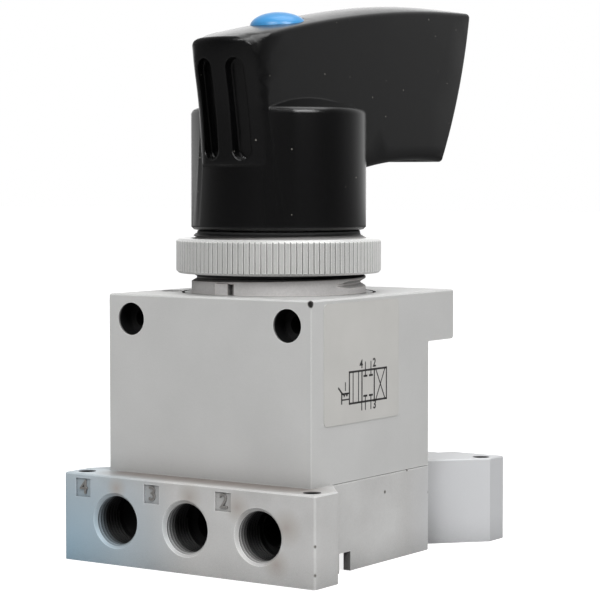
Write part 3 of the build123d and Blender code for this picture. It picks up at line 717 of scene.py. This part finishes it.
def label_film():
    """Satin film with a faint brushed tone."""
    material, add, join, shader = finish("label_film", 0.0, 0.42)
    tone = mottle(add, join, 60.0, 6.0)
    colour = between(add, join, (166, 165, 162), (182, 181, 178), tone.outputs["Fac"])
    join(colour.outputs["Result"], shader.inputs["Base Color"])
    bumped(add, join, shader, tone.outputs["Fac"], 0.00001)
    return material


PRINT_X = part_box("label")[1].x
PRINT_T = 0.02 * MM
PRINT_FIGURE_H = 2.5 * MM
PRINT_WEIGHT = 0.09 * MM
SYMBOL_FIGURES = (("4", -10.9, 61.5), ("2", -3.6, 61.5), ("1", -10.6, 48.8), ("3", -3.4, 48.8))


def bar(start, end, width):
    """A printed line between two points (y, z) of the plate, a hair proud of it."""
    along = Vector((0.0, end[0] - start[0], end[1] - start[1])).normalized()
    side = Vector((1.0, 0.0, 0.0)).cross(along) * width / 2
    grow = along * width / 2
    mesh = bpy.data.meshes.new("bar")
    first, last = Vector((0.0, *start)) - grow, Vector((0.0, *end)) + grow
    ring = [first - side, last - side, last + side, first + side]
    low = [(PRINT_X, point.y * MM, point.z * MM) for point in ring]
    high = [(PRINT_X + PRINT_T, y, z) for _, y, z in low]
    walls = [(k, (k + 1) % 4, 4 + (k + 1) % 4, 4 + k) for k in range(4)]
    mesh.from_pydata(low + high, [], [(3, 2, 1, 0), (4, 5, 6, 7)] + walls)
    return mesh


def printing_ink():
    """Matt black ink, a little thin in places."""
    material, add, join, shader = finish("printing_ink", 0.0, 0.6)
    thin = mottle(add, join, 900.0)
    colour = between(add, join, (18, 18, 20), (64, 62, 62), thin.outputs["Fac"])
    join(colour.outputs["Result"], shader.inputs["Base Color"])
    return material


def symbol_lines():
    """The circuit symbol, as (start, end, width) lines in (y, z) millimetres on the plate."""
    low, high, thin, bold = 50.2, 59.6, 0.44, 0.6
    cells = (-17.4, -10.5, -3.6, 3.3)
    lines = [((cells[0], z), (cells[3], z), bold) for z in (low, high)]
    lines += [((y, low), (y, high), bold) for y in cells]
    lines += [((y, low), (y, high), thin) for y in (-15.4, -12.4)]
    lines += [((-2.8, low), (2.5, high), thin), ((-2.8, high), (2.5, low), thin)]
    for y in (-8.6, -5.5):
        for edge, way in ((low, -1), (high, 1)):
            lines.append(((y, edge - way * 1.7), (y, edge + way * 2.4), thin))
            lines.append(((y - 0.8, edge - way * 1.7), (y + 0.8, edge - way * 1.7), bold))
    lines += [((-21.6, z), (cells[0], z), thin) for z in (51.6, 53.4)]
    lines += [((-21.6, 50.6), (-21.6, 53.4), bold), ((-23.2, 55.2), (-21.2, 53.4), bold)]
    for notch in (-20.2, -18.8):
        lines += [((notch - 0.6, 53.4), (notch, 52.7), thin),
                  ((notch, 52.7), (notch + 0.6, 53.4), thin)]
    lines.append(((-19.6, 54.4), (-19.6, 56.6), thin))
    return lines


dress("label", label_film())
sideways = Matrix.Rotation(math.radians(90), 4, "Z") @ upright
printed = [bar(*line) for line in symbol_lines()]
for figure, y, z in SYMBOL_FIGURES:
    middle = Matrix.Translation((PRINT_X + PRINT_T / 2, y * MM, z * MM))
    printed.append(figure_mesh(figure, PRINT_FIGURE_H, PRINT_T, middle @ sideways, PRINT_WEIGHT))
label_print = piece_of("label_print", printed, printing_ink())
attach(label_print, "valve_body")


# ---- threaded neck ---------------------------------------------------------------------------
# The cast aluminium collar that passes through a panel, held by four screws from inside the
# housing. Its coarse thread is cut; a key and keyway at the front keep the valve from turning.

NECK_PITCH = 3.0 * MM
NECK_THREAD_Z = 84.6 * MM
NUT_BOTTOM_Z = 87.9 * MM
NUT_TOP_Z = 98.6 * MM

THREAD_DEPTH = 1.65 * MM
THREAD_MOUTH = 2.9 * MM
THREAD_ROOT = 0.5 * MM

# Shade painted under the nut and under the lever's hub, each a flat disc wider than the neck.
neck_shades = [((0, 0, NUT_BOTTOM_Z - 1.9 * MM), (0, 0, 1), 40 * MM, 0.9 * MM, 4 * MM),
               ((0, 0, NUT_TOP_Z - 0.6 * MM), (0, 0, 1), 40 * MM, 1.7 * MM, 4 * MM)]
neck_grey = blasted_aluminium("neck", (184, 182, 181), (218, 216, 215), (230, 222, 219),
                              grain=1400.0, reach=0.006, holes=neck_shades)
neck = merged_copy("threaded_neck", "cut_neck")
with_tree(
    neck, cut_thread, Crest_Radius=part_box("threaded_neck")[1].x, Pitch=NECK_PITCH,
    Depth=THREAD_DEPTH, Mouth_Width=THREAD_MOUTH, Root_Width=THREAD_ROOT, Turns=5.6,
    Run_Out=0.006, Steps=120, Start=(0.0, 0.0, NECK_THREAD_Z),
    Turn=(0.0, 0.0, math.radians(-15)), Material=neck_grey)
made_plain(neck)
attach(neck, "valve_body")
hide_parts("threaded_neck")
dress("neck_screws", screw_steel)
dress("neck_seal", seal_rubber)
dress("dust_ring", seal_rubber)


# ---- ring nut --------------------------------------------------------------------------------
# The panel nut: nickel plated, its rim straight knurled for the fingers and lightly chamfered.
# It runs on the neck's thread and clamps the panel against the housing.

# The nut's paler sides, where it turns away from view, are a painted sheen.
nut_grey = blasted_aluminium("nut", (166, 166, 164), (188, 188, 186), (232, 232, 230),
                             metallic=0.35, roughness=0.38, grain=1800.0, painted_sheen=(250, 250, 249))
dress("panel_nut", nut_grey)


# ---- handle ----------------------------------------------------------------------------------
# The lever is one glossy black moulding: a cup-shaped hub, a long blade with a crowned top, and a
# blunt nose with grooves. A screw under the cap holds it on the spindle. Fine dust lies on it.

def build_dust():
    """Scattered specks of pale dust, one in a few cells."""
    tree, start, end = plain_group(
        "dust", [("Cells", "NodeSocketFloat", 200.0), ("Share", "NodeSocketFloat", 0.8)],
        [("Specks", "NodeSocketFloat")])
    add, join = node_tools(tree)
    place = add("ShaderNodeTexCoord")
    cells = add("ShaderNodeTexVoronoi")
    join(place.outputs["Object"], cells.inputs["Vector"])
    join(start.outputs["Cells"], cells.inputs["Scale"])
    chosen = add("ShaderNodeSeparateColor")
    join(cells.outputs["Color"], chosen.inputs["Color"])
    few = add("ShaderNodeMath", operation="LESS_THAN")
    join(chosen.outputs["Red"], few.inputs[0])
    join(start.outputs["Share"], few.inputs[1])
    near = add("ShaderNodeMapRange")
    near.inputs["From Min"].default_value = 0.06
    near.inputs["From Max"].default_value = 0.025
    join(cells.outputs["Distance"], near.inputs["Value"])
    specks = add("ShaderNodeMath", operation="MULTIPLY")
    join(few.outputs[0], specks.inputs[0])
    join(near.outputs["Result"], specks.inputs[1])
    join(specks.outputs[0], end.inputs["Specks"])
    return tree


dust = build_dust()
DUST_TONE = (112, 110, 104)


def moulded_plastic(name, base, tint, roughness, dusty=True, edge_radius=0.0):
    """Injection-moulded plastic, nearly even, with a slight flow mottle and softened edges."""
    material, add, join, shader = finish(name, 0.0, roughness)
    flow = mottle(add, join, 80.0, 4.0)
    colour = between(add, join, base, tint, flow.outputs["Fac"])
    if dusty:
        specks = add("ShaderNodeGroup", node_tree=dust)
        colour = laid(add, join, colour, DUST_TONE, specks.outputs["Specks"])
    join(colour.outputs["Result"], shader.inputs["Base Color"])
    bump = bumped(add, join, shader, flow.outputs["Fac"], 0.00004, 0.4)
    if edge_radius:
        soft = add("ShaderNodeBevel", samples=6)
        soft.inputs["Radius"].default_value = edge_radius
        join(soft.outputs["Normal"], bump.inputs["Normal"])
    return material


HUB_R = 27.3 * MM
BLADE_HALF_W = 12.7 * MM
NOSE_CORNER_R = 4.4 * MM
NOSE_RIM_R = 5.5 * MM
NOSE_FOOT_R = 0.9 * MM
NOSE_FOOT_Z = 121.0 * MM
NOSE_START_Y = -20.0 * MM       # behind this the lever keeps the form of its solid
NOSE_EASE = 8.0 * MM            # length over which the rim's corner grows to its full radius
NOSE_DRAW = 1.2 * MM            # how far the nose's face is drawn back
NOSE_DRAW_LOW = 0.9 * MM        # less by this at its foot
NOSE_DRAW_TOP = 1.1 * MM        # more by this at its top
NOSE_LIFT = 0.45 * MM
CAP_BOSS_R = 8.95 * MM
CAP_BOSS_Z = 160.0 * MM
CAP_BOSS_SHRINK = 0.92


def nose_reach(z):
    """How far the blade's nose reaches from the spindle's axis as first moulded, at height z."""
    up = (z - NOSE_FOOT_Z) / MM
    return (28.3 + 0.14433 * up + 0.002312 * up * (up - 19.4)) * MM


def blade_top(x, y):
    """Height of the blade's crowned top near the nose."""
    edge = 164.75 + 0.1655 * y / MM - 0.00083 * (y / MM) ** 2
    return (edge + 0.9 * (1 - (x / BLADE_HALF_W) ** 2)) * MM


def rounded(first, second, radius):
    """Two distances inside a corner's faces, moved onto a round corner if outside it."""
    one, other = radius - first, radius - second
    out = math.hypot(one, other)
    if one > 0 and other > 0 and out > radius:
        return radius - one * radius / out, radius - other * radius / out
    return first, second


def eased_nose(place):
    """The lever's final form: a nose with broad round corners, and a boss that the cap covers."""
    reach = math.hypot(place.x, place.y)
    if reach < CAP_BOSS_R and place.z > CAP_BOSS_Z:
        return Vector((CAP_BOSS_SHRINK * place.x, CAP_BOSS_SHRINK * place.y, place.z))
    if place.y > NOSE_START_Y or place.z < NOSE_FOOT_Z - 2 * MM or reach <= HUB_R - 5 * MM:
        return place
    face = nose_reach(place.z)
    inside = BLADE_HALF_W - abs(place.x)
    forward = min(1.0, (NOSE_START_Y - place.y) / NOSE_EASE)
    top = blade_top(place.x, place.y)
    inside, below = rounded(inside, top - place.z, NOSE_RIM_R * forward)
    inside, behind = rounded(inside, face - reach, NOSE_CORNER_R)
    behind, above = rounded(behind, top - below - NOSE_FOOT_Z, NOSE_FOOT_R)
    side, reach = BLADE_HALF_W - inside, face - behind
    share = max(0.0, (reach - HUB_R) / (face - HUB_R))
    up = place.z / MM
    low = max(0.0, (140 - up) / 19)
    high = max(0.0, (up - 148) / 11)
    drawn = NOSE_DRAW - NOSE_DRAW_LOW * low + NOSE_DRAW_TOP * high ** 2
    new_reach = reach - drawn * share
    side *= new_reach / reach
    height = NOSE_FOOT_Z + above + NOSE_LIFT * share * min(1.0, max(0.0, (up - 144) / 12))
    return Vector((math.copysign(side, place.x), -math.sqrt(new_reach ** 2 - side ** 2), height))


SLICED_Y = -25.0 * MM


def sliced(skin, normal, distances):
    """Cuts the nose's faces along parallel planes, so that they can bend."""
    for distance in distances:
        faces = [face for face in skin.faces if face.calc_center_median().y < SLICED_Y]
        edges = dict.fromkeys(edge for face in faces for edge in face.edges)
        verts = dict.fromkeys(vert for face in faces for vert in face.verts)
        bmesh.ops.bisect_plane(skin, geom=[*faces, *edges, *verts],
                               plane_co=[part * distance for part in normal], plane_no=normal)


handle = merged_copy("handle", "lever_handle")
handle_skin = bmesh.new()
handle_skin.from_mesh(handle.data)
sliced(handle_skin, (1, 0, 0),
       [side * (10.0 + 0.45 * step) * MM for side in (-1, 1) for step in range(6)])
sliced(handle_skin, (0, 1, 0), [(-27.5 - 0.6 * step) * MM for step in range(12)])
sliced(handle_skin, (0, 0, 1), [(121.2 + 0.25 * step) * MM for step in range(4)])
sliced(handle_skin, (0, 0, 1), [(124.0 + 3.0 * step) * MM for step in range(11)])
many_sided = [face for face in handle_skin.faces if len(face.verts) > 4]
bmesh.ops.triangulate(handle_skin, faces=many_sided)
for vert in handle_skin.verts:
    vert.co = eased_nose(vert.co)
handle_skin.to_mesh(handle.data)
handle_skin.free()
handle.data.materials.append(
    moulded_plastic("lever_plastic", (4, 4, 4), (6, 6, 7), 0.24, edge_radius=0.9 * MM))
smoothed(handle.data)
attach(handle, "lever")
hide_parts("handle")
dress("handle_screw", screw_steel)
dress("handle_washer", screw_steel)


# ---- cap -------------------------------------------------------------------------------------
# A light blue plastic button pressed into the top of the blade, over the lever's screw.

CAP_RIM_R = 9.0 * MM
CAP_RISE = 4.6 * MM
CAP_SKIRT = 1.0 * MM
CAP_WALL = 0.14 * MM
CAP_FLOOR = 0.5 * MM
CAP_PLAY = 0.2 * MM
CAP_AROUND = 96

cap_edge_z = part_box("handle_cap")[1].z - CAP_RISE - CAP_PLAY
inner_r = CAP_RIM_R - CAP_WALL
profile = [(CAP_RIM_R * math.sin(turn), cap_edge_z + CAP_RISE * math.cos(turn))
           for turn in map(math.radians, range(0, 91, 6))]
profile += [(CAP_RIM_R, cap_edge_z - CAP_SKIRT), (inner_r, cap_edge_z - CAP_SKIRT),
            (inner_r, cap_edge_z - CAP_FLOOR), (0.0, cap_edge_z - CAP_FLOOR)]
cap_skin = bmesh.new()
ring_verts = [cap_skin.verts.new((r, 0.0, z)) for r, z in profile]
ring_edges = [cap_skin.edges.new(pair) for pair in zip(ring_verts, ring_verts[1:])]
bmesh.ops.spin(cap_skin, geom=ring_verts + ring_edges, cent=(0, 0, 0), axis=(0, 0, 1),
               angle=math.tau, steps=CAP_AROUND, use_merge=True)
bmesh.ops.remove_doubles(cap_skin, verts=cap_skin.verts, dist=0.001 * MM)
bmesh.ops.recalc_face_normals(cap_skin, faces=cap_skin.faces)
cap_mesh = bpy.data.meshes.new("blue_cap")
cap_skin.to_mesh(cap_mesh)
cap_skin.free()
cap_mesh.materials.append(
    moulded_plastic("cap_blue", (55, 126, 181), (66, 142, 194), 0.3, dusty=False))
smoothed(cap_mesh, 40.0)
cap = linked("blue_cap", cap_mesh)
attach(cap, "lever")
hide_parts("handle_cap")


# ---- works inside ----------------------------------------------------------------------------
# The rotary slide and what carries it: a steel spindle in bronze, an acetal slide on a lapped
# steel seat, held down by a coil spring, and a sprung clip on the spindle's octagon for the detent.

bronze = steel("bearing_bronze", (186, 146, 92), 0.4)
spring_wire = steel("spring_steel", (140, 140, 142), 0.3)
dress("spindle", steel("spindle_steel", (168, 168, 166), 0.28))
dress("seat_plate", steel("seat_steel", (176, 176, 174), 0.2))
dress("slide_disc",
      moulded_plastic("slide_plastic", (206, 204, 196), (222, 220, 212), 0.45, dusty=False))
dress("spindle_seals", seal_rubber)
for node in ("spindle_bush", "thrust_washer"):
    dress(node, bronze)
for node in ("slide_spring", "detent_spring"):
    dress(node, spring_wire)
for node in ("seat_pins", "stop_pin", "detent_cover", "cover_screws"):
    dress(node, screw_steel)


# ---- floor, light and camera -----------------------------------------------------------------
# A white sweep that runs out of sight, under a pale room. Soft lamps stand to the right, in front
# and overhead, and a weak one behind lifts the far sides without shining on the handle.

FLOOR_GLOSS = 0.06      # how bright the floor is where it is mirrored
FLOOR_GLOW = 0.86       # and where the camera sees it
FLOOR_HALF = 6.0
FLOOR_DROP = 0.0002


def white_floor():
    """Matt pale grey that looks white where nothing shades it, and dark to what mirrors it."""
    material, add, join, shader = finish("sweep_white", 0.0, 0.9)
    seen = add("ShaderNodeLightPath")
    tone = add("ShaderNodeMix", data_type="RGBA")
    tone.inputs["A"].default_value = (0.55, 0.55, 0.55, 1.0)
    tone.inputs["B"].default_value = (0.08, 0.08, 0.08, 1.0)
    join(seen.outputs["Is Glossy Ray"], tone.inputs["Factor"])
    join(tone.outputs["Result"], shader.inputs["Base Color"])
    mirrored = add("ShaderNodeMath", operation="MULTIPLY")
    join(seen.outputs["Is Glossy Ray"], mirrored.inputs[0])
    mirrored.inputs[1].default_value = FLOOR_GLOSS
    glow = add("ShaderNodeMath", operation="MULTIPLY_ADD")
    join(seen.outputs["Is Camera Ray"], glow.inputs[0])
    glow.inputs[1].default_value = FLOOR_GLOW
    join(mirrored.outputs[0], glow.inputs[2])
    shader.inputs["Emission Color"].default_value = (1.0, 1.0, 1.0, 1.0)
    join(glow.outputs[0], shader.inputs["Emission Strength"])
    return material


floor_mesh = bpy.data.meshes.new("floor")
corners = [(x * FLOOR_HALF, y * FLOOR_HALF, -FLOOR_DROP)
           for x, y in ((-1, -1), (1, -1), (1, 1), (-1, 1))]
floor_mesh.from_pydata(corners, [], [(0, 1, 2, 3)])
floor_mesh.materials.append(white_floor())
floor = linked("floor", floor_mesh)

CAMERA_TURN = math.radians(34.28)
CAMERA_DOWN = math.radians(3.21)
CAMERA_PLACE = Vector((390.8, -561.5, 117.5)) * MM
BACKDROP_WAY = (-math.sin(CAMERA_TURN), math.cos(CAMERA_TURN), 0.0)
ROOM_GLOSS = 0.04       # the room as mirrored, away from the backdrop
ROOM_FALL = 3.2         # how fast it darkens away from the backdrop
ROOM_LIGHT = 0.3

world = bpy.data.worlds.new("studio")
scene.world = world
world.use_nodes = True
world_add, world_join = node_tools(world.node_tree)


def world_sum(operation, *terms):
    """One step of arithmetic in the world's tree; a term is a number or an output."""
    node = world_add("ShaderNodeMath", operation=operation)
    for slot, term in enumerate(terms):
        if isinstance(term, float):
            node.inputs[slot].default_value = term
        else:
            world_join(term, node.inputs[slot])
    return node.outputs[0]


ray = world_add("ShaderNodeLightPath")
toward = world_add("ShaderNodeTexCoord")
facing = world_add("ShaderNodeVectorMath", operation="DOT_PRODUCT")
world_join(toward.outputs["Generated"], facing.inputs[0])
facing.inputs[1].default_value = BACKDROP_WAY
share = world_sum("MULTIPLY_ADD", facing.outputs["Value"], 0.5, 0.5)
fallen = world_sum("POWER", share, ROOM_FALL)
mirrored = world_sum("MULTIPLY_ADD", fallen, 1.0 - ROOM_GLOSS, ROOM_GLOSS)
room = world_add("ShaderNodeMix", data_type="FLOAT")
room.inputs["A"].default_value = ROOM_LIGHT
world_join(ray.outputs["Is Glossy Ray"], room.inputs["Factor"])
world_join(mirrored, room.inputs["B"])
seen = world_sum("MAXIMUM", ray.outputs["Is Camera Ray"], ray.outputs["Is Transmission Ray"])
backdrop = world.node_tree.nodes["Background"]
backdrop.inputs["Color"].default_value = (1.0, 1.0, 1.0, 1.0)
world_join(world_sum("MAXIMUM", room.outputs["Result"], seen), backdrop.inputs["Strength"])


def softbox(name, place, aim, size, watts, gloss=1.0):
    """A square soft lamp looking at a point."""
    light = bpy.data.lights.new(name, "AREA")
    light.shape = "SQUARE"
    light.size = size
    light.energy = watts
    light.specular_factor = gloss
    turned = (aim - place).to_track_quat("-Z", "Y").to_matrix().to_4x4()
    lamp = linked(name, light)
    lamp.matrix_world = Matrix.Translation(place) @ turned


valve_middle = (cad_low + cad_high) / 2
softbox("lamp_right", Vector((0.85, -0.3, 0.8)), valve_middle, 0.6, 10.3)
softbox("lamp_front", Vector((0.15, -0.95, 0.85)), valve_middle, 0.6, 8.7)
softbox("lamp_rear", Vector((-0.9, 1.3, 0.3)), valve_middle, 0.8, 1.5, gloss=0.0)
softbox("lamp_top", Vector((0.1, 0.2, 1.1)), valve_middle, 0.8, 4.8)

level = math.cos(CAMERA_DOWN)
look = Vector((-math.sin(CAMERA_TURN) * level, math.cos(CAMERA_TURN) * level,
               -math.sin(CAMERA_DOWN)))
right = Vector((math.cos(CAMERA_TURN), math.sin(CAMERA_TURN), 0.0))
up = right.cross(look)
lens = bpy.data.cameras.new("camera")
lens.sensor_width = 36.0
lens.lens = 131.36
lens.clip_start = 0.05
lens.clip_end = 50.0
turned = Matrix((right, up, -look)).transposed().to_4x4()
camera = linked("camera", lens)
camera.matrix_world = Matrix.Translation(CAMERA_PLACE) @ turned
scene.camera = camera
